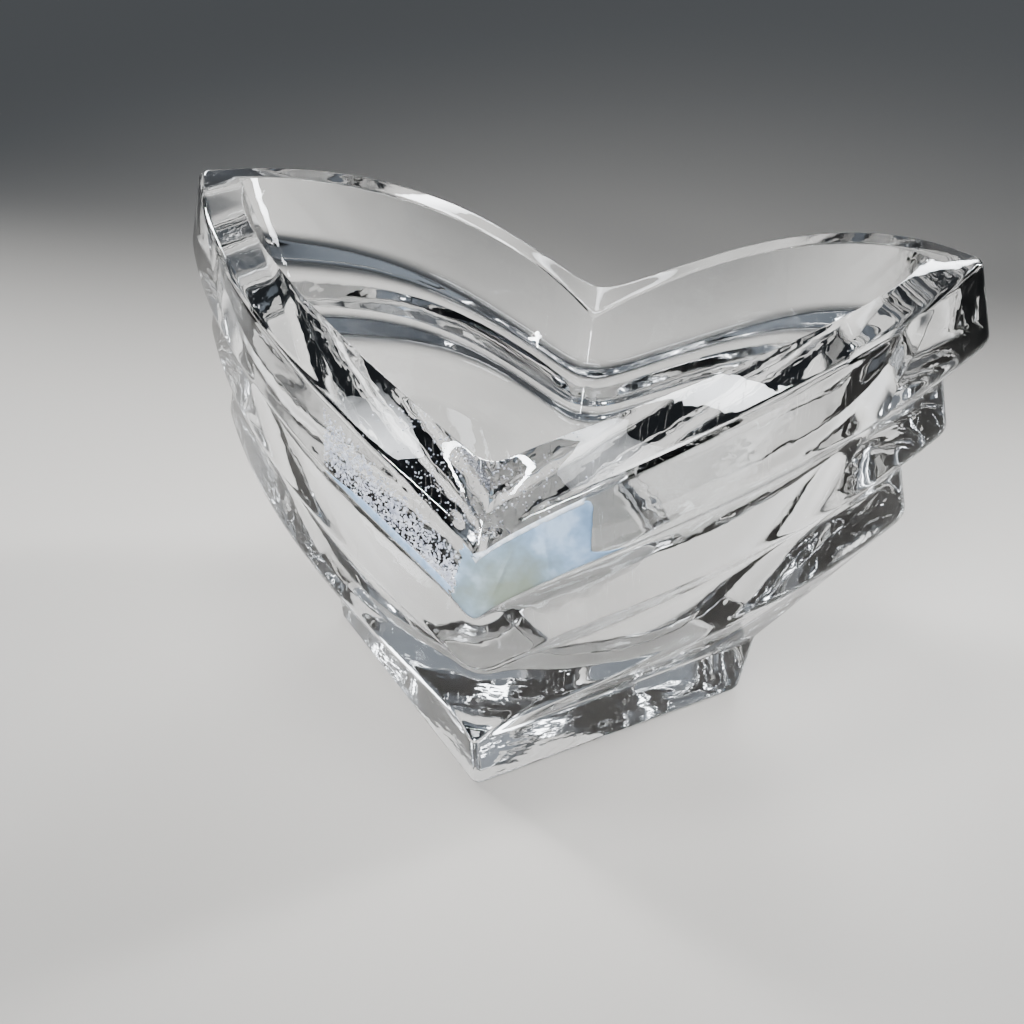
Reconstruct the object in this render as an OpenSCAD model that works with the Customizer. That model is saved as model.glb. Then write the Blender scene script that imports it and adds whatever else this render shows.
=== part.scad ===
// Heart-shaped open bowl in thick clear pressed crystal: three stepped tiers on a
// square-cornered base, with the remains of a wrapped paper label on the front tip.
// Units: mm. +Z up, +X to the right, -Y towards the tip. Origin: centre of the base plane.

/* [Rim] */
// half width of the rim at its side corners
rim_half_w = 75; // [70:1:80]
// distance of the side corners behind the tip
rim_corner_back = 58; // [55:1:61]
// distance of the notch behind the tip
rim_notch_back = 92; // [89:1:95]
// outward bow of each front side at mid length
rim_bow = 12.5; // [10:0.5:14]
// rim height at the tip
rim_tip_z = 52; // [51:0.5:54]
// rim height at the side corners
rim_corner_z = 92.5; // [90:0.5:95]
// rim height at the notch
rim_notch_z = 64; // [62:0.5:66]

/* [Tiers] */
// height of each tier at the tip
tier_tip_h = 13.1; // [12.5:0.1:13.3]
// height of each tier at the side corners
tier_corner_h = 16; // [15:0.5:17]
// outward flare of each tier face
tier_flare = 4.5; // [3:0.5:5.5]
// depth of the ledge under a tier at the side corners
ledge_corner = 7.5; // [5:0.5:9]
// depth of the ledge under a tier at the tip
ledge_tip = 2.6; // [1.5:0.1:3.5]

/* [Base] */
// half width of the base at its side corners
base_half_w = 46; // [42:1:50]
// distance of the base side corners behind the base tip
base_corner_back = 46; // [43:1:49]
// height of the base
base_h = 12.5; // [11:0.5:13]

/* [Cavity] */
// thickness of the glass under the cavity
floor_z = 17; // [15:0.5:20]
// width of the rim top along the front sides
lip_front = 10.8; // [9.5:0.1:12]
// drop of the inner lip below the rim edge at the notch
lip_notch_drop = 6; // [4:0.5:8]

/* [Label] */
// how far the paper runs along the right tier face, as a fraction of its length
paper_run = 0.18; // [0.12:0.01:0.3]
// how far the adhesive patch runs along the left tier face
adhesive_run = 0.31; // [0.2:0.01:0.45]
// thickness of the paper
paper_t = 0.3; // [0.2:0.05:0.5]

/* [Hidden] */
side_steps = 18;
arc_steps = 18;
// place of the rim's tip that puts the bowl's bounding box over the origin
tip_y = -49.24;
// plan radius of the notch outside, and of the cusp inside
notch_round = 5;
cusp_round = 1;
// how each ring's height rises from tip to corner, as an exponent
rim_power = 0.79;
tier_power = [0.75, 0.82, 0.89];
lip_power = 0.85;
// control points of a lobe's outline, as fractions of its width and depth
lobe_from_corner = [0.74, 1.2];
lobe_from_notch = [0.44, 0.57];
// first tier's lower edge, against the rim: drop at the tip, share of the flare at the tip,
// and how far back its corners stand
first_drop = 12.6;
tip_flare = 0.9;
first_corner_back = 2;
// change from each tier to the next below: tip back, corners in, forward and down, bow
step_tip_back = 1.6;
step_corner_in = 4.5;
step_corner_forward = 4;
step_corner_down = 0.8;
step_bow = 1.4;
// where the notch lies at each tier's lower edge: how far in and how far down from the rim's
notch_in = [4.2, 5.2, 11];
notch_down = [18, 28.5, 41];
// inner edge of a ledge, against its outer edge: drops at tip, corner and notch, the corner's
// and notch's forward run as shares of the ledge's depth, and the share of the bow
ledge_drop = [1.2, 4.5, 1.8];
ledge_forward = [0.7, 0.6];
ledge_bow = 0.9;
// base: the top's tip in front of the rim's, the bottom's behind it, the draft at the corners
// and along the sides, the notch's distance as a share of the corners', and the lobes' fullness
base_tip_out = 1.5;
base_tip_in = 0.8;
base_draft_corner = 1.5;
base_draft = 2;
base_notch = 1.62;
base_lobe = 0.8;
base_middle = 44;
// crease and lip at the tip: [behind the rim's tip, above it]
crease_at = [3, 5];
crease_reach = 0.45;
crease_in = 0.22;
lip_at = [6.5, 13.5];
// lip at the corners: [forward of the rim's, below it], and at the notch, inside the rim's
lip_corner_at = [3, 1.5];
lip_notch_in = 3.3;
// control points of the lip's outline: from its tip, to its corner, from its corner, and the
// lobe's [share of the rim's half width, distance behind the notch]
lip_tip_pull = [9, 0];
lip_corner_pull = [6.4, 24.8];
lip_lobe_pull = [7.7, -1.2];
lip_lobe = [0.49, 27.6];
// cavity floor: distances behind the rim's tip, half width and bow
floor_tip = 22;
floor_corner = 48;
floor_notch = 64;
floor_half_w = 26;
floor_bow = 4;
// the floor's outline is shortened towards this distance behind the rim's tip
floor_fixed = 27;
floor_short = 0.92;
// share of the cavity wall's slope that is straight; the rest curves in at the floor
wall_straight = 0.7;
cavity_depths = [0.12, 0.28, 0.45, 0.62, 0.78, 0.9, 0.97, 1];
// label films: rows down the first tier's face, columns along it, gap to the glass, the
// paper's left end, the gap between the films, and the adhesive's thickness
label_rows = [0.06, 0.5, 0.92];
film_steps = 8;
label_gap = 0.05;
label_left = 0.03;
label_join = 0.005;
adhesive_t = paper_t / 2;
slope_step = 0.01;

function bez(a, b, c, d, t) =
    pow(1 - t, 3) * a + 3 * pow(1 - t, 2) * t * b + 3 * (1 - t) * t * t * c + t * t * t * d;
function mix(a, b, t) = a + (b - a) * t;

// A ring is [tip y, tip z, corner x, corner y, corner z, notch y, notch z, bow, power, lobe]
function side_xy(r, t) = let(
        a = [0, r[0]],
        d = [r[2], r[3]],
        v = d - a,
        n = [v[1], -v[0]] / norm(v) * r[7] * 4 / 3)
    bez(a, a + v / 3 + n, a + v * 2 / 3 + n, d, t);
function side_pt(r, t) = let(p = side_xy(r, t))
    [p[0], p[1], mix(r[1], r[4], pow(p[0] / r[2], r[8]))];
function soft(x, nr) = sqrt(x * x + nr * nr) - nr;
function arc_pt(r, t, nr) = let(
        a = [r[2], r[3]],
        d = [0, r[5]],
        back = r[5] - r[3],
        b = [r[2] * lobe_from_corner[0], r[3] + back * lobe_from_corner[1] * r[9]],
        c = [r[2] * lobe_from_notch[0], r[5] + back * lobe_from_notch[1] * r[9]],
        p = bez(a, b, c, d, t),
        lift = 0.5 * r[9] * (soft(p[0], nr) + nr - p[0]))
    [p[0], p[1] + lift, mix(r[6], r[4], soft(p[0], nr) / soft(r[2], nr))];
function half_ring(r, nr = notch_round) = concat(
    [for (i = [0:side_steps]) side_pt(r, i / side_steps)],
    [for (i = [1:arc_steps]) arc_pt(r, i / arc_steps, nr)]);
function mirrored(h) = concat(h, [for (i = [len(h) - 2:-1:1]) [-h[i][0], h[i][1], h[i][2]]]);
function ring(r) = mirrored(half_ring(r));

// Outer rings, from the base plane up to the rim
corner_y = tip_y + rim_corner_back;
notch_y = tip_y + rim_notch_back;
rim = [tip_y, rim_tip_z, rim_half_w, corner_y, rim_corner_z, notch_y, rim_notch_z, rim_bow,
    rim_power, 1];
// Lower edge of tier k + 1's face
function tier_low(k) = [
    tip_y - tier_flare * tip_flare + (k + 1) * step_tip_back,
    rim_tip_z - first_drop - k * tier_tip_h,
    rim_half_w + tier_flare - k * step_corner_in,
    corner_y + first_corner_back - k * step_corner_forward,
    rim_corner_z - (k + 1) * tier_corner_h - k * step_corner_down,
    notch_y - notch_in[k], rim_notch_z - notch_down[k],
    rim_bow - (k + 1) * step_bow, tier_power[k], 1];
// Inner edge of the ledge under a tier
function ledge(r) = [
    r[0] + ledge_tip, r[1] - ledge_drop[0],
    r[2] - ledge_corner, r[3] - ledge_corner * ledge_forward[0], r[4] - ledge_drop[1],
    r[5] - ledge_corner * ledge_forward[1], r[6] - ledge_drop[2], r[7] * ledge_bow, r[8], 1];
tier1 = tier_low(0);
tier2 = tier_low(1);
tier3 = tier_low(2);
base_corner_y = tip_y + base_corner_back;
base_notch_y = tip_y + base_corner_back * base_notch;
base_top = [tip_y - base_tip_out, base_h, base_half_w, base_corner_y, base_h,
    base_notch_y, base_h, 0, 1, base_lobe];
base_low = [tip_y + base_tip_in, 0, base_half_w - base_draft,
    base_corner_y - base_draft_corner, 0, base_notch_y - base_draft, 0, 0, 1, base_lobe];
function between(a, b, t) = [for (i = [0:len(a) - 1]) mix(a[i], b[i], t)];

// Crease and inner lip of the rim
crease_tip = [0, tip_y + crease_at[0], rim_tip_z + crease_at[1]];
lip_tip = [0, tip_y + lip_at[0], rim_tip_z + lip_at[1]];
lip_corner = [rim_half_w - lip_front, corner_y - lip_corner_at[0],
    rim_corner_z - lip_corner_at[1]];
lip_notch = [0, notch_y - lip_notch_in, rim_notch_z - lip_notch_drop];
function lip_side(t) = let(
        a = [lip_tip[0], lip_tip[1]],
        d = [lip_corner[0], lip_corner[1]],
        p = bez(a, a + lip_tip_pull, d - lip_corner_pull, d, t))
    [p[0], p[1], mix(lip_tip[2], lip_corner[2], pow(p[0] / d[0], lip_power))];
function lip_arc(t) = let(
        a = [lip_corner[0], lip_corner[1]],
        d = [lip_notch[0], lip_notch[1]],
        c = [rim_half_w * lip_lobe[0], notch_y + lip_lobe[1]],
        p = bez(a, a + lip_lobe_pull, c, d, t))
    [p[0], p[1], mix(lip_notch[2], lip_corner[2], p[0] / a[0])];
function lip_half() = concat(
    [for (i = [0:side_steps]) lip_side(i / side_steps)],
    [for (i = [1:arc_steps]) lip_arc(i / arc_steps)]);
function crease_half() = let(lip = lip_half(), out = half_ring(rim))
    [for (i = [0:len(lip) - 1]) let(
        near = pow(max(1 - i / side_steps / crease_reach, 0), 2),
        p = mix(lip[i], out[i], crease_in),
        shift = crease_tip - mix(lip[0], out[0], crease_in))
        p + shift * near];

// Cavity rings: the lip shrinks to the floor outline while it goes down
floor_ring = [tip_y + floor_tip, floor_z, floor_half_w, tip_y + floor_corner, floor_z,
    tip_y + floor_notch, floor_z, floor_bow, 1, 1];
function inset(d) = wall_straight * d + (1 - wall_straight) * (1 - sqrt(1 - pow(d, 4)));
function floor_half() = let(h = half_ring(floor_ring, cusp_round), y0 = tip_y + floor_fixed)
    [for (p = h) [p[0], y0 + (p[1] - y0) * floor_short, floor_z]];
function cavity_half(d) = let(lip = lip_half(), low = floor_half())
    [for (i = [0:len(lip) - 1]) [
        mix(lip[i][0], low[i][0], inset(d)),
        mix(lip[i][1], low[i][1], inset(d)),
        mix(lip[i][2], low[i][2], d)]];

bowl_rings = concat(
    [ring(base_low), ring(base_top), ring(tier3), ring(ledge(tier2)), ring(tier2),
     ring(ledge(tier1)), ring(tier1)],
    [for (k = [len(label_rows) - 1:-1:0]) ring(between(rim, tier1, label_rows[k]))],
    [ring(rim), mirrored(crease_half()), mirrored(lip_half())],
    [for (d = cavity_depths) mirrored(cavity_half(d))]);

// Closed skin through a stack of rings with a centre point at each end
module skin(rings, low, high) {
    n = len(rings[0]);
    m = len(rings);
    pts = concat([for (r = rings) for (p = r) p], [low, high]);
    walls = [for (j = [0:m - 2]) for (i = [0:n - 1])
        let(a = j * n + i, b = j * n + (i + 1) % n)
        each [[a, a + n, b + n], [a, b + n, b]]];
    bottom = [for (i = [0:n - 1]) [m * n, i, (i + 1) % n]];
    top = [for (i = [0:n - 1]) [m * n + 1, (m - 1) * n + (i + 1) % n, (m - 1) * n + i]];
    polyhedron(points = pts, faces = concat(walls, bottom, top), convexity = 10);
}

module glass_bowl() {
    color([0.93, 0.96, 0.97, 0.35])
    skin(bowl_rings, [0, tip_y + base_middle, 0], [0, tip_y + floor_corner, floor_z]);
}

// A film on the first tier's face: columns run along the face, rows run down it
function face_pt(c, v, off) = let(
        t = abs(c),
        r = between(rim, tier1, v),
        p = side_pt(r, t),
        q = side_xy(r, min(t + slope_step, 1)) - side_xy(r, max(t - slope_step, 0)),
        n = c == 0 ? [0, -1] : [q[1], -q[0]] / norm(q))
    [(p[0] + n[0] * off) * (c < 0 ? -1 : 1), p[1] + n[1] * off, p[2]];

module film(cols, thick) {
    rows = label_rows;
    w = len(cols);
    h = len(rows);
    grid = [for (off = [label_gap, label_gap + thick]) for (v = rows) for (c = cols)
        face_pt(c, v, off)];
    inner = [for (j = [0:h - 2]) for (i = [0:w - 2])
        let(a = j * w + i) each [[a, a + w + 1, a + 1], [a, a + w, a + w + 1]]];
    outer = [for (f = inner) [f[0] + w * h, f[2] + w * h, f[1] + w * h]];
    rim_loop = concat(
        [for (i = [0:w - 1]) i],
        [for (j = [1:h - 1]) j * w + w - 1],
        [for (i = [w - 2:-1:0]) (h - 1) * w + i],
        [for (j = [h - 2:-1:1]) j * w]);
    m = len(rim_loop);
    edge = [for (i = [0:m - 1])
        let(a = rim_loop[i], b = rim_loop[(i + 1) % m])
        each [[a, b + w * h, a + w * h], [a, b, b + w * h]]];
    polyhedron(points = grid, faces = concat(inner, outer, edge), convexity = 4);
}

paper_cols = concat([-label_left], [for (i = [0:film_steps]) paper_run * i / film_steps]);
adhesive_cols = [for (i = [0:film_steps])
    mix(-adhesive_run, -label_left - label_join, i / film_steps)];

module label_paper() {
    color([0.78, 0.85, 0.93])
    film(paper_cols, paper_t);
}

module label_adhesive() {
    color([0.82, 0.83, 0.86])
    film(adhesive_cols, adhesive_t);
}

glass_bowl();
label_paper();
label_adhesive();
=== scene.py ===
"""Heart-shaped open bowl in thick clear pressed crystal, with the remains of a paper label."""

import math

import bpy
import numpy as np
from mathutils import Matrix, Vector, noise as mnoise
from mathutils.bvhtree import BVHTree


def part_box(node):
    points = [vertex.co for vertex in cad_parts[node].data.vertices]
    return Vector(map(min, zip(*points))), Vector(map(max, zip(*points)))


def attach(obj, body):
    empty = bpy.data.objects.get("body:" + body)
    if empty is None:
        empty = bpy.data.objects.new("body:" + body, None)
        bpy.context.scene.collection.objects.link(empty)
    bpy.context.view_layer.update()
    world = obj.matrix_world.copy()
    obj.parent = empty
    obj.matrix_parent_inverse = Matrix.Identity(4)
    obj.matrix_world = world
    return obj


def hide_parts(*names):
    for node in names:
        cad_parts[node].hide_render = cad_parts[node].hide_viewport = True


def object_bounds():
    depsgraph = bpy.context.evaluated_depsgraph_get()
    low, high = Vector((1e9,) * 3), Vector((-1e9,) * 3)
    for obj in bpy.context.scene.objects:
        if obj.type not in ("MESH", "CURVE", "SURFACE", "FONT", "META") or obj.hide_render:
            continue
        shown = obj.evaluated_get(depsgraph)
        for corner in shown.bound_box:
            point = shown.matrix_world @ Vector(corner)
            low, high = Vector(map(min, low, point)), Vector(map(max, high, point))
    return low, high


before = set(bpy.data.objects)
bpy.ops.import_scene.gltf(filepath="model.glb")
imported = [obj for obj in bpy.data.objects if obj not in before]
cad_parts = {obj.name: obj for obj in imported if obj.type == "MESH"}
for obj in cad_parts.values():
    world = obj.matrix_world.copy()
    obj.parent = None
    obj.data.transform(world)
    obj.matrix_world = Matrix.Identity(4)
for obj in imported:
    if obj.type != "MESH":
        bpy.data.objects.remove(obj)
cad_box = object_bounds()

MM = 0.001
rng = np.random.default_rng(7)


# ---------------------------------------------------------------- shape of the bowl, in mm

# the rim's front tip stands this far behind the bowl's front, which is the first tier's lower edge
TIP_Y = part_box("glass_bowl")[0].y / MM + 2.45
NOTCH_ROUND = 5.0
# how far the notch goes in and down at each tier's lower edge, from the rim
NOTCH_IN = (4.2, 5.2, 11.0)
NOTCH_DROP = (18.0, 28.5, 41.0)
# height of a tier at its tip and corner, how far each steps in and forward from the one above,
# and how far its face flares out
TIER_TIP_H, TIER_CORNER_H = 13.1, 16
TIER_IN, TIER_FORWARD, TIER_FLARE = 4.5, 4, 4.5
# a ledge's inner edge, from its outer edge, at the tip, corner and notch
LEDGE_TIP, LEDGE_CORNER, LEDGE_NOTCH = (2.6, -1.2), (-7.5, -5.25, -4.5), (-4.5, -1.8)
RIM = dict(tip=(TIP_Y, 52.0), corner=(75.0, TIP_Y + 58.0, 92.5), notch=(TIP_Y + 92.0, 64.0),
           bow=12.5, power=0.79, lobe=1.0)


def ring(tip, corner, notch, bow=0.0, power=1.0, lobe=1.0):
    return dict(tip=tip, corner=corner, notch=notch, bow=bow, power=power, lobe=lobe)


def tier_low(k):
    """The lower edge of tier k's face."""
    t, c, n = RIM["tip"], RIM["corner"], RIM["notch"]
    above = k - 1
    return ring(
        (t[0] - 0.9 * TIER_FLARE + 1.6 * k, t[1] - 12.6 - above * TIER_TIP_H),
        (c[0] + TIER_FLARE - above * TIER_IN, c[1] + 2 - above * TIER_FORWARD,
         c[2] - TIER_CORNER_H * k - above * 0.8),
        (n[0] - NOTCH_IN[above], n[1] - NOTCH_DROP[above]),
        RIM["bow"] - 1.4 * k, 0.68 + 0.07 * k)


def ledge(r):
    """The inner edge of the ledge under a tier."""
    def moved(point, by):
        return tuple(p + b for p, b in zip(point, by))
    return ring(moved(r["tip"], LEDGE_TIP), moved(r["corner"], LEDGE_CORNER),
                moved(r["notch"], LEDGE_NOTCH), r["bow"] * 0.9, r["power"])


BASE_TOP = ring((TIP_Y - 1.5, 12.5), (46.0, TIP_Y + 46.0, 12.5), (TIP_Y + 74.52, 12.5), lobe=0.8)
BASE_LOW = ring((TIP_Y + 0.8, 0.0), (44.0, TIP_Y + 44.5, 0.0), (TIP_Y + 72.52, 0.0), lobe=0.8)
FLOOR_Z = 17.0
FLOOR = ring((TIP_Y + 22, FLOOR_Z), (26.0, TIP_Y + 48, FLOOR_Z), (TIP_Y + 64, FLOOR_Z), bow=4.0)


def bez(a, b, c, d, t):
    t = np.asarray(t, float)[:, None]
    a, b, c, d = (np.asarray(p, float) for p in (a, b, c, d))
    return (1 - t) ** 3 * a + 3 * (1 - t) ** 2 * t * b + 3 * (1 - t) * t * t * c + t ** 3 * d


def side(r, t):
    """Points on the right front side, from the tip to the side corner."""
    a = np.array([0.0, r["tip"][0]])
    d = np.array(r["corner"][:2])
    v = d - a
    n = np.array([v[1], -v[0]]) / np.linalg.norm(v) * r["bow"] * 4 / 3
    p = bez(a, a + v / 3 + n, a + v * 2 / 3 + n, d, t)
    z = r["tip"][1] + (r["corner"][2] - r["tip"][1]) * np.clip(p[:, 0] / d[0], 0, 1) ** r["power"]
    return np.column_stack([p, z])


def soft(x, r=NOTCH_ROUND):
    return np.sqrt(x * x + r * r) - r


def arc(r, t, nr=NOTCH_ROUND):
    """Points on the right back lobe, from the side corner to the notch."""
    cx, cy, cz = r["corner"]
    ny, nz = r["notch"]
    back = (ny - cy) * r["lobe"]
    p = bez((cx, cy), (cx * 0.74, cy + 1.2 * back), (cx * 0.44, ny + 0.57 * back), (0, ny), t)
    p[:, 1] += 0.5 * r["lobe"] * (soft(p[:, 0], nr) + nr - p[:, 0])
    z = nz + (cz - nz) * soft(p[:, 0], nr) / soft(cx, nr)
    return np.column_stack([p, z])


# columns run round the right half, closer together at the tip, corner and notch
SIDE_N, ARC_N = 90, 84


def eased(n, k):
    u = np.linspace(0, 1, n + 1)
    return (1 - k) * u + k * 0.5 * (1 - np.cos(math.pi * u))


T_SIDE = eased(SIDE_N, 0.9)
T_ARC = eased(ARC_N, 0.8)


def half(r, nr=NOTCH_ROUND):
    return np.vstack([side(r, T_SIDE), arc(r, T_ARC, nr)[1:]])


LIP_TIP = (0.0, TIP_Y + 6.5, 65.5)
LIP_CORNER = (64.2, TIP_Y + 55.0, 91.0)
LIP_NOTCH = (0.0, TIP_Y + 88.7, 58.0)
CREASE_TIP = (0.0, TIP_Y + 3, 57.0)
# plan radii in mm: at the cusp inside, and how far each side corner and the notch are rounded
CUSP_ROUND, CORNER_REACH, NOTCH_REACH = 1.0, 2.2, 0.8


def lip_half():
    """The right half of the lip, where the rim turns down into the cavity."""
    a, d, e = np.array(LIP_TIP[:2]), np.array(LIP_CORNER[:2]), np.array(LIP_NOTCH[:2])
    p = bez(a, a + [9, 0], d - [6.4, 24.8], d, T_SIDE)
    z = LIP_TIP[2] + (LIP_CORNER[2] - LIP_TIP[2]) * np.clip(p[:, 0] / d[0], 0, 1) ** 0.85
    q = bez(d, d + [7.7, -1.2], (36.75, e[1] + 30.9), e, T_ARC)[1:]
    zq = LIP_NOTCH[2] + (LIP_CORNER[2] - LIP_NOTCH[2]) * q[:, 0] / d[0]
    return np.vstack([np.column_stack([p, z]), np.column_stack([q, zq])])


def crease_half():
    """The right half of the crease between the rim and the lip, drawn down at the tip."""
    lip, out = lip_half(), half(RIM)
    t = np.concatenate([T_SIDE, 1 + T_ARC[1:]])
    near = np.clip(1 - t / 0.45, 0, 1)[:, None] ** 2
    p = lip + (out - lip) * 0.22
    shift = np.array(CREASE_TIP) - p[0]
    # a narrow shelf along the lip of each lobe, widest round the triangle at the notch
    shelf = np.maximum(np.clip(1 - (2 - t) / 0.3, 0, 1) ** 0.7,
                       0.45 * np.clip((t - 1.04) / 0.2, 0, 1))
    return p + shift * near + shelf[:, None] * [0, 0.5, -0.9]


def inset(d):
    """How far in the cavity's wall has come, at a share d of its depth."""
    return 0.7 * d + 0.3 * (1 - math.sqrt(max(1 - d ** 4, 0)))


def cavity_half(d):
    """The right half of the cavity's outline, at a share d of its depth."""
    lip, low = lip_half(), half(FLOOR, CUSP_ROUND)
    y0 = TIP_Y + 27
    low[:, 1] = y0 + (low[:, 1] - y0) * 0.92
    low[:, 2] = FLOOR_Z
    p = lip + (low - lip) * inset(d)
    p[:, 2] = lip[:, 2] + (low[:, 2] - lip[:, 2]) * d
    return p


def round_line(rows, radii, steps=6, support=1.3):
    """Rounds the profile that runs through the rows at each column."""
    out = [rows[0]]
    for j in range(1, len(rows) - 1):
        p, before, after = rows[j], rows[j - 1] - rows[j], rows[j + 1] - rows[j]
        if radii[j] <= 0:
            out.append(p)
            continue
        lb = np.linalg.norm(before[:, :3], axis=1, keepdims=True)
        la = np.linalg.norm(after[:, :3], axis=1, keepdims=True)
        rb, ra = np.minimum(radii[j], 0.36 * lb), np.minimum(radii[j], 0.36 * la)
        a, b = p + before / lb * rb, p + after / la * ra
        out.append(p + before / lb * rb * support)
        for u in np.linspace(0, 1, steps + 1):
            out.append((1 - u) ** 2 * a + 2 * u * (1 - u) * p + u * u * b)
        out.append(p + after / la * ra * support)
    out.append(rows[-1])
    return out


def round_plan(loop, corner, reach):
    """Rounds a closed loop where it turns at one of its points, over reach mm to each side."""
    n = len(loop)
    order = (np.arange(n) + corner) % n
    pts = loop[order]
    step = np.linalg.norm(np.roll(pts, -1, 0) - pts, axis=1)
    ahead = np.concatenate([[0], np.cumsum(step)[:-1]])
    total = step.sum()
    s = np.where(ahead > total / 2, ahead - total, ahead)
    by_s = np.argsort(s)
    a = np.array([np.interp(-reach, s[by_s], pts[by_s, k]) for k in range(3)])
    b = np.array([np.interp(reach, s[by_s], pts[by_s, k]) for k in range(3)])
    u = np.clip((s + reach) / (2 * reach), 0, 1)[:, None]
    curve = (1 - u) ** 2 * a + 2 * u * (1 - u) * pts[0] + u * u * b
    pts = np.where(np.abs(s)[:, None] < reach, curve, pts)
    out = loop.copy()
    out[order] = pts
    return out


def mirrored(h):
    """A closed loop, from its right half."""
    back = h[-2:0:-1].copy()
    back[:, 0] *= -1
    return np.vstack([h, back])


def mesh_object(name, verts, faces):
    mesh = bpy.data.meshes.new(name)
    mesh.from_pydata([tuple(v) for v in verts], [], faces)
    mesh.validate()
    mesh.update()
    mesh.polygons.foreach_set("use_smooth", [True] * len(mesh.polygons))
    o = bpy.data.objects.new(name, mesh)
    bpy.context.scene.collection.objects.link(o)
    return o


def build_bowl():
    t1, t2, t3 = tier_low(1), tier_low(2), tier_low(3)
    # base, three tiers, rim and lip, from the bottom up: how far each edge is rounded in
    # section, and how far its front tip is rounded in plan
    stack = [
        (half(BASE_LOW) * [0.9, 0.9, 1] + [0, TIP_Y * 0.02, 0], 0.0, 1.8),
        (half(BASE_LOW), 0.9, 1.8), (half(BASE_TOP), 1.0, 1.8),
        (half(t3), 1.7, 3.0), (half(ledge(t2)), 3.0, 5.0), (half(t2), 1.7, 6.0),
        (half(ledge(t1)), 3.0, 4.0), (half(t1), 1.7, 3.5), (half(RIM), 1.4, 1.6),
        (crease_half(), 1.5, 1.6), (lip_half(), 1.5, 4.0),
    ]
    depths = 1 - np.cos(np.linspace(0, 1, 34)[1:] * math.pi / 2) ** 1.3
    depths = depths / depths[-1]
    stack.append((cavity_half(float(depths[0])), 0.0, 4.0))
    # the tip's reach rides along as a fourth coordinate, so that it changes smoothly
    lines = [np.column_stack([r, np.full(len(r), reach)]) for r, _, reach in stack]
    rows = round_line(lines, [k for _, k, _ in stack])
    rows += [np.column_stack([cavity_half(float(d)), np.full(len(lines[0]), 4.0 + 6 * d)])
             for d in depths[1:]]
    loops = []
    for h in rows:
        reach_tip = float(h[0, 3])
        loop = mirrored(h[:, :3])
        loop = round_plan(loop, 0, reach_tip)
        loop = round_plan(loop, SIDE_N, CORNER_REACH)
        loop = round_plan(loop, len(loop) - SIDE_N, CORNER_REACH)
        loop = round_plan(loop, len(h) - 1, NOTCH_REACH)
        loops.append(loop)
    # flat caps under the base and on the cavity floor, drawn in towards their middles
    low_mid = np.array([0, TIP_Y + 40, 0.0])
    top_mid = np.array([0, TIP_Y + 46, FLOOR_Z])
    caps = (0.75, 0.5, 0.25)
    low = [low_mid + (loops[0] - low_mid) * k for k in reversed(caps)]
    top = [top_mid + (loops[-1] - top_mid) * k for k in caps]
    loops = low + loops + top
    n, m = len(loops[0]), len(loops)
    verts = np.vstack(loops + [low_mid[None], top_mid[None]]) * MM
    faces = []
    for j in range(m - 1):
        for i in range(n):
            a, b = j * n + i, j * n + (i + 1) % n
            faces.append((a, b, b + n, a + n))
    faces += [(m * n, (i + 1) % n, i) for i in range(n)]
    faces += [(m * n + 1, (m - 1) * n + i, (m - 1) * n + (i + 1) % n) for i in range(n)]
    o = mesh_object("crystal_bowl", verts, faces)
    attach(o, "root")
    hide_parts("glass_bowl")
    return o


# ---------------------------------------------------------------- label remnant


def ring_mix(a, b, u):
    """A ring part of the way from one ring to another."""
    def mix(p, q):
        if isinstance(p, tuple):
            return tuple(mix(x, y) for x, y in zip(p, q))
        return p + (q - p) * u
    return {k: mix(a[k], b[k]) for k in a}


def surface_finder(bowl_object):
    """Finds the place and the normal, in metres, of a point on the rounded first tier."""
    tree = BVHTree.FromObject(bowl_object, bpy.context.evaluated_depsgraph_get())
    t1 = tier_low(1)

    def find(t, v):
        r = ring_mix(RIM, t1, v)
        a, b = side(r, [max(abs(t) - 0.01, 0.0)])[0], side(r, [abs(t) + 0.01])[0]
        p = side(r, [abs(t)])[0]
        n = Vector((b[1] - a[1], a[0] - b[0], 0)).normalized()
        # near the tip the face turns round through straight ahead
        w = min(abs(t) / 0.03, 1.0)
        n = (n * w + Vector((0, -1, 0)) * (1 - w)).normalized()
        if t < 0:
            p[0], n.x = -p[0], -n.x
        start = Vector(p) * MM + n * 4 * MM
        hit, normal, _, _ = tree.ray_cast(start, -n, 0.012)
        return (Vector(p) * MM, n) if hit is None else (hit, normal)

    return find, tree


def wobble(x, y, seed):
    """Smooth noise from -1 to 1."""
    return mnoise.noise(Vector((x, y, seed * 7.31)))


# the films stand this far off the glass, in mm
LIFT = 0.02


def film(name, find, t_left, t_right, v_low, v_high, nu, nv, thick, lift):
    """A closed thin sheet on the first tier's face. Its left and right ends change with height,
    and thick gives its thickness in mm at a point."""
    verts, faces = [], []
    for side_of in (0, 1):
        for j in range(nv + 1):
            v = v_low + (v_high - v_low) * j / nv
            for i in range(nu + 1):
                a, b = t_left(v), t_right(v)
                t = a + (b - a) * i / nu
                hit, n = find(t, v)
                edge = min(i, nu - i, j, nv - j)
                off = lift + side_of * thick(t, v) * (0.45 if edge == 0 else 1.0)
                verts.append(hit + n * off * MM)
    w = nu + 1
    count = w * (nv + 1)
    for j in range(nv):
        for i in range(nu):
            a = j * w + i
            faces.append((a, a + 1, a + w + 1, a + w))
            faces.append((count + a, count + a + w, count + a + w + 1, count + a + 1))
    loop = ([i for i in range(w)] + [j * w + nu for j in range(1, nv + 1)]
            + [nv * w + i for i in range(nu - 1, -1, -1)] + [j * w for j in range(nv - 1, 0, -1)])
    for k, a in enumerate(loop):
        b = loop[(k + 1) % len(loop)]
        faces.append((b, a, a + count, b + count))
    o = mesh_object(name, verts, faces)
    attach(o, "root")
    return o


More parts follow.
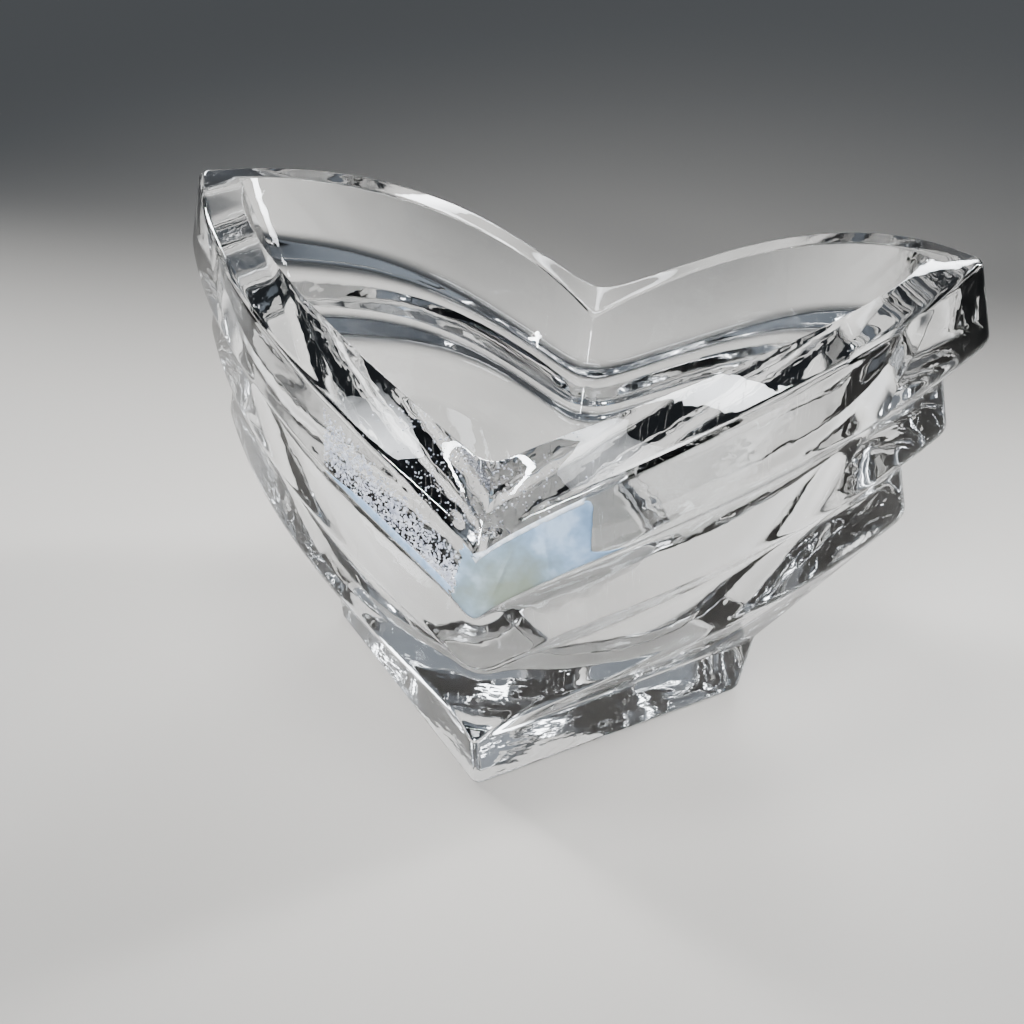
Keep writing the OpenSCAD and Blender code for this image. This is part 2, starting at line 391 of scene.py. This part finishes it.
def paper_end(v, gap=0.0):
    """The torn line where the paper stops and the bare adhesive starts."""
    return -0.022 - gap - 0.012 * v + 0.007 * wobble(v * 9, 0, 1) + 0.004 * wobble(v * 31, 0, 2)


def build_paper(find):
    """What is left of the label, and the torn fibres along its top."""
    # the top edge as a share of the face's height, the upper right corner's radius, and the
    # height and length of the face in mm
    top, radius, height, length = 0.07, 2.0, 12.5, 92.0

    def right(v):
        h = (v - top) * height
        bend = radius - math.sqrt(max(radius ** 2 - (radius - min(h, radius)) ** 2, 0))
        tail = max(v - 0.82, 0) / 0.18
        return 0.182 - bend / length + 0.055 * tail ** 1.6 + 0.0012 * wobble(v * 14, 0, 3)

    def thick(t, v):
        ridge = math.exp(-((t - 0.1 - 0.02 * v) / 0.004) ** 2)
        fold = math.exp(-((t - 0.045 + 0.05 * (v - 0.5)) / 0.005) ** 2)
        fold *= max(0, 1 - abs(v - 0.55) * 3)
        return 0.16 + 0.07 * wobble(t * 90, v * 6, 4) + 0.2 * ridge + 0.28 * fold

    o = film("label_remnant", find, paper_end, right, top, 1.0, 84, 40, thick, LIFT)
    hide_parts("label_paper")
    # the white fibres along the top, where the printed layer has been torn away
    torn = film("label_torn_edge", find, lambda v: 0.03 * wobble(v * 40, 0, 14),
                lambda v: 0.168 + 0.004 * wobble(v * 60, 1, 15), 0.045, 0.12, 90, 5,
                lambda t, v: 0.27 + 0.14 * wobble(t * 260, v * 30, 16), LIFT + 0.03)
    return o, torn


def fleck(verts, faces, at, normal, size, stretch, spin):
    """Adds a low irregular dome of dried adhesive, its foot just inside the glass."""
    x = normal.orthogonal().normalized()
    y = normal.cross(x)
    c, s = math.cos(spin), math.sin(spin)
    x, y = x * c + y * s, y * c - x * s
    base, n = len(verts), 7
    jag = rng.uniform(0.75, 1.2, n)
    for ring_size, rise in ((1.0, -0.02), (0.72, 0.15 * size)):
        for k in range(n):
            a = 2 * math.pi * k / n
            r = size * ring_size * jag[k]
            verts.append(at + (x * math.cos(a) * r + y * math.sin(a) * r * stretch
                               + normal * rise) * MM)
    verts.append(at + normal * 0.22 * size * MM)
    for k in range(n):
        m = (k + 1) % n
        faces.append((base + k, base + m, base + n + m, base + n + k))
        faces.append((base + n + k, base + n + m, base + 2 * n))
    faces.append(tuple(base + k for k in reversed(range(n))))


FACE_FLECKS, LIP_FLECKS = 2000, 520


def build_residue(find, tree):
    """The dried adhesive: a smooth strip along the tier's lower edge, and flecks above it."""
    def left(v):
        return -0.31 + 0.1 * max(0.97 - v, 0) / 0.14 + 0.004 * wobble(v * 40, 0, 5)

    def right(v):
        return paper_end(v, 0.006)

    def thick(t, v):
        return 0.1 + 0.03 * wobble(t * 120, v * 5, 6)

    strip = film("residue_strip", find, left, right, 0.84, 0.995, 90, 10, thick, LIFT)
    verts, faces = [], []
    made = 0
    while made < FACE_FLECKS:
        t, v = rng.uniform(-0.315, -0.01), rng.uniform(0.1, 0.9)
        clump = wobble(t * 60, v * 5, 8) + 0.6 * wobble(t * 160, v * 14, 9)
        middle = 1 - abs(v - 0.62 - 0.6 * (t + 0.16)) / 0.42
        if rng.uniform() > max(middle, 0) ** 0.7 * (0.75 + 0.7 * clump):
            continue
        hit, n = find(t, v)
        fleck(verts, faces, hit, n, rng.uniform(0.1, 0.3), rng.uniform(0.6, 1.7),
              rng.uniform(0, 3.1))
        made += 1
    # a thinner dusting on the bevel and lip round the tip
    made = 0
    while made < LIP_FLECKS:
        x, y = rng.normal(-3, 8), rng.uniform(TIP_Y + 1, TIP_Y + 12)
        if wobble(x * 0.22, y * 0.4, 11) + rng.uniform(-0.5, 0.5) < 0:
            continue
        hit, n, _, _ = tree.ray_cast(Vector((x * MM, y * MM, 0.12)), Vector((0, 0, -1)), 0.09)
        if hit is None or n.z < 0.15:
            continue
        fleck(verts, faces, hit, n, rng.uniform(0.07, 0.2), rng.uniform(0.7, 1.4),
              rng.uniform(0, 3.1))
        made += 1
    flecks = mesh_object("adhesive_residue", verts, faces)
    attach(flecks, "root")
    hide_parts("label_adhesive")
    return flecks, strip


# ---------------------------------------------------------------- materials


def new_material(name):
    mat = bpy.data.materials.new(name)
    mat.use_nodes = True
    nt = mat.node_tree
    nt.nodes.clear()
    out = nt.nodes.new("ShaderNodeOutputMaterial")
    b = nt.nodes.new("ShaderNodeBsdfPrincipled")
    nt.links.new(b.outputs[0], out.inputs[0])
    return mat, nt, b


def noise(nt, vec, scale, detail=2.0, rough=0.5):
    n = nt.nodes.new("ShaderNodeTexNoise")
    n.inputs["Scale"].default_value = scale
    n.inputs["Detail"].default_value = detail
    n.inputs["Roughness"].default_value = rough
    nt.links.new(vec, n.inputs["Vector"])
    return n


def ramp(nt, fac, *stops):
    r = nt.nodes.new("ShaderNodeValToRGB")
    el = r.color_ramp.elements
    while len(el) < len(stops):
        el.new(0.5)
    for e, (pos, colour) in zip(el, stops):
        e.position = pos
        e.color = colour if len(colour) == 4 else (*colour, 1)
    nt.links.new(fac, r.inputs[0])
    return r


def grey(v):
    return (v, v, v, 1)


def bump_of(nt, height, strength, distance, under=None):
    n = nt.nodes.new("ShaderNodeBump")
    n.inputs["Strength"].default_value = strength
    n.inputs["Distance"].default_value = distance
    nt.links.new(height, n.inputs["Height"])
    if under is not None:
        nt.links.new(under.outputs[0], n.inputs["Normal"])
    return n


def crystal_material():
    mat, nt, b = new_material("crystal")
    b.inputs["Transmission Weight"].default_value = 1.0
    b.inputs["IOR"].default_value = 1.54
    b.inputs["Base Color"].default_value = (0.975, 0.985, 0.99, 1)
    tc = nt.nodes.new("ShaderNodeTexCoord")
    # slow waves left by the mould, finer ripples, and hair-fine scratches in two directions
    slow = noise(nt, tc.outputs["Object"], 45.0, 1.0)
    ripple = noise(nt, tc.outputs["Object"], 150.0, 2.0)
    b1 = bump_of(nt, slow.outputs[0], 0.2, 0.0022)
    b2 = bump_of(nt, ripple.outputs[0], 0.13, 0.0007, b1)
    last = b2
    for turn, seed_scale in ((0.7, 1.0), (-0.5, 1.3)):
        m = nt.nodes.new("ShaderNodeMapping")
        m.inputs["Rotation"].default_value = (0.3, 0.5 * turn, turn)
        m.inputs["Scale"].default_value = (4200 * seed_scale, 26, 90)
        nt.links.new(tc.outputs["Object"], m.inputs["Vector"])
        streak = noise(nt, m.outputs[0], 1.0, 1.0)
        line = ramp(nt, streak.outputs[0], (0.72, grey(0)), (0.76, grey(1)))
        last = bump_of(nt, line.outputs[0], 0.12, 0.00004, last)
    nt.links.new(last.outputs[0], b.inputs["Normal"])
    # handling marks: soft smears a little duller than the polish
    smear = noise(nt, tc.outputs["Object"], 60.0, 4.0, 0.6)
    dull = ramp(nt, smear.outputs[0], (0.6, grey(0.0)), (0.85, grey(0.05)))
    nt.links.new(dull.outputs[0], b.inputs["Roughness"])
    return mat


def paper_material():
    mat, nt, b = new_material("label_paper")
    tc = nt.nodes.new("ShaderNodeTexCoord")
    cloud = noise(nt, tc.outputs["Object"], 160.0, 3.0, 0.6)
    tone = ramp(nt, cloud.outputs[0], (0.36, (0.19, 0.31, 0.48)), (0.5, (0.27, 0.42, 0.63)),
                (0.63, (0.46, 0.62, 0.82)))
    # old glue has soaked through and yellowed the paper where it bends round the tip
    far = nt.nodes.new("ShaderNodeVectorMath")
    far.operation = "DISTANCE"
    far.inputs[1].default_value = (0.0055, (TIP_Y + 0.3) * MM, 0.0455)
    nt.links.new(tc.outputs["Object"], far.inputs[0])
    shift = nt.nodes.new("ShaderNodeMath")
    shift.operation = "MULTIPLY_ADD"
    shift.inputs[1].default_value = 0.012
    nt.links.new(cloud.outputs[0], shift.inputs[0])
    nt.links.new(far.outputs["Value"], shift.inputs[2])
    soaked = ramp(nt, shift.outputs[0], (0.0095, grey(0.9)), (0.0185, grey(0)))
    mix = nt.nodes.new("ShaderNodeMix")
    mix.data_type = "RGBA"
    mix.inputs[7].default_value = (0.24, 0.27, 0.19, 1)
    nt.links.new(soaked.outputs[0], mix.inputs[0])
    nt.links.new(tone.outputs[0], mix.inputs[6])
    nt.links.new(mix.outputs[2], b.inputs["Base Color"])
    fibre = noise(nt, tc.outputs["Object"], 2600.0, 4.0, 0.65)
    rough = ramp(nt, fibre.outputs[0], (0.3, grey(0.42)), (0.7, grey(0.66)))
    nt.links.new(rough.outputs[0], b.inputs["Roughness"])
    crumple = noise(nt, tc.outputs["Object"], 320.0, 2.0)
    b1 = bump_of(nt, crumple.outputs[0], 0.5, 0.0006)
    b2 = bump_of(nt, fibre.outputs[0], 0.3, 0.0002, b1)
    nt.links.new(b2.outputs[0], b.inputs["Normal"])
    return mat


def residue_material(name, low, high):
    mat, nt, b = new_material(name)
    tc = nt.nodes.new("ShaderNodeTexCoord")
    spots = noise(nt, tc.outputs["Object"], 900.0, 3.0, 0.6)
    tone = ramp(nt, spots.outputs[0], (0.35, low), (0.65, high))
    nt.links.new(tone.outputs[0], b.inputs["Base Color"])
    rough = ramp(nt, spots.outputs[0], (0.3, grey(0.35)), (0.7, grey(0.6)))
    nt.links.new(rough.outputs[0], b.inputs["Roughness"])
    return mat


def floor_material():
    mat, nt, b = new_material("studio_floor")
    b.inputs["Base Color"].default_value = (0.37, 0.345, 0.315, 1)
    b.inputs["Roughness"].default_value = 0.55
    return mat


# ---------------------------------------------------------------- pieces

bowl = build_bowl()
bowl.data.materials.append(crystal_material())
find_on_face, bowl_tree = surface_finder(bowl)
paper, torn_edge = build_paper(find_on_face)
paper.data.materials.append(paper_material())
torn_edge.data.materials.append(
    residue_material("torn_fibres", (0.5, 0.58, 0.68), (0.88, 0.92, 0.96)))
residue, residue_strip = build_residue(find_on_face, bowl_tree)
residue.data.materials.append(
    residue_material("adhesive_flecks", (0.36, 0.38, 0.48), (0.82, 0.83, 0.9)))
residue_strip.data.materials.append(
    residue_material("adhesive_strip", (0.26, 0.4, 0.6), (0.42, 0.57, 0.78)))


def build_floor(radius=1.6, n=96):
    """A pale disc just under the base."""
    turns = [2 * math.pi * i / n for i in range(n)]
    mesh = bpy.data.meshes.new("studio_floor")
    mesh.from_pydata(
        [(0, 0, 0)] + [(radius * math.cos(a), radius * math.sin(a), 0) for a in turns],
        [], [(0, 1 + i, 1 + (i + 1) % n) for i in range(n)])
    floor = bpy.data.objects.new("studio_floor", mesh)
    bpy.context.scene.collection.objects.link(floor)
    floor.data.materials.append(floor_material())
    floor.location.z = cad_box[0][2] - 0.2 * MM


build_floor()


# ---------------------------------------------------------------- camera and light


def add_camera():
    heading, pitch, roll = (math.radians(a) for a in (14.5, 31.5, 1.6))
    c, s, cp, sp = math.cos(heading), math.sin(heading), math.cos(pitch), math.sin(pitch)
    right, ahead = Vector((c, s, 0)), Vector((-cp * s, cp * c, -sp))
    up = Vector((-sp * s, sp * c, cp))
    x = right * math.cos(roll) + up * math.sin(roll)
    y = up * math.cos(roll) - right * math.sin(roll)
    data = bpy.data.cameras.new("camera")
    data.lens, data.sensor_width = 47.9, 36.0
    data.clip_start = 0.01
    cam = bpy.data.objects.new("camera", data)
    bpy.context.scene.collection.objects.link(cam)
    turn = Matrix((x, y, -ahead)).transposed()
    place = Vector((53.0, TIP_Y - 182.3, 177.0)) * MM
    cam.matrix_world = Matrix.Translation(place) @ turn.to_4x4()
    bpy.context.scene.camera = cam


COOL = (0.93, 0.965, 1.0)


def area(name, at, aim, size, power, spread):
    """A rectangular lamp, its size (across, up) in metres and its spread in degrees."""
    data = bpy.data.lights.new(name, "AREA")
    data.spread = math.radians(spread)
    data.shape = "RECTANGLE"
    data.size, data.size_y = size
    data.energy, data.color = power, COOL
    o = bpy.data.objects.new(name, data)
    bpy.context.scene.collection.objects.link(o)
    o.location = at
    o.rotation_euler = (Vector(aim) - Vector(at)).to_track_quat("-Z", "Y").to_euler()


add_camera()
# a pool of cool light round the bowl, so that the glass has a darker distance to bend into
# its edges
area("overhead", (-0.06, 0.0, 0.6), (0, -0.05, 0), (0.16, 0.1), 0.24, 58)
area("front_high", (-0.05, -0.34, 0.52), (0, 0.02, 0.06), (0.34, 0.22), 0.42, 42)
area("front_low", (-0.12, -0.55, 0.3), (0, 0, 0.05), (0.26, 0.03), 0.22, 40)
area("back_strip", (0.02, 0.5, 0.36), (0, 0, 0.08), (0.8, 0.14), 0.6, 40)
area("left_strip", (-0.45, 0.16, 0.34), (0, 0, 0.05), (0.05, 0.4), 0.5, 40)
area("right_strip", (0.42, 0.3, 0.3), (0, 0, 0.05), (0.05, 0.3), 0.6, 40)

# a dim room with a pale cool ceiling
world = bpy.data.worlds.new("studio")
world.use_nodes = True
room = world.node_tree
direction = room.nodes.new("ShaderNodeTexCoord")
height = room.nodes.new("ShaderNodeSeparateXYZ")
room.links.new(direction.outputs["Generated"], height.inputs[0])
shade = ramp(room, height.outputs["Z"], (0.0, grey(0.05)), (0.35, (0.08, 0.09, 0.105)),
             (0.95, (0.27, 0.31, 0.36)))
room.links.new(shade.outputs[0], room.nodes["Background"].inputs[0])
bpy.context.scene.world = world
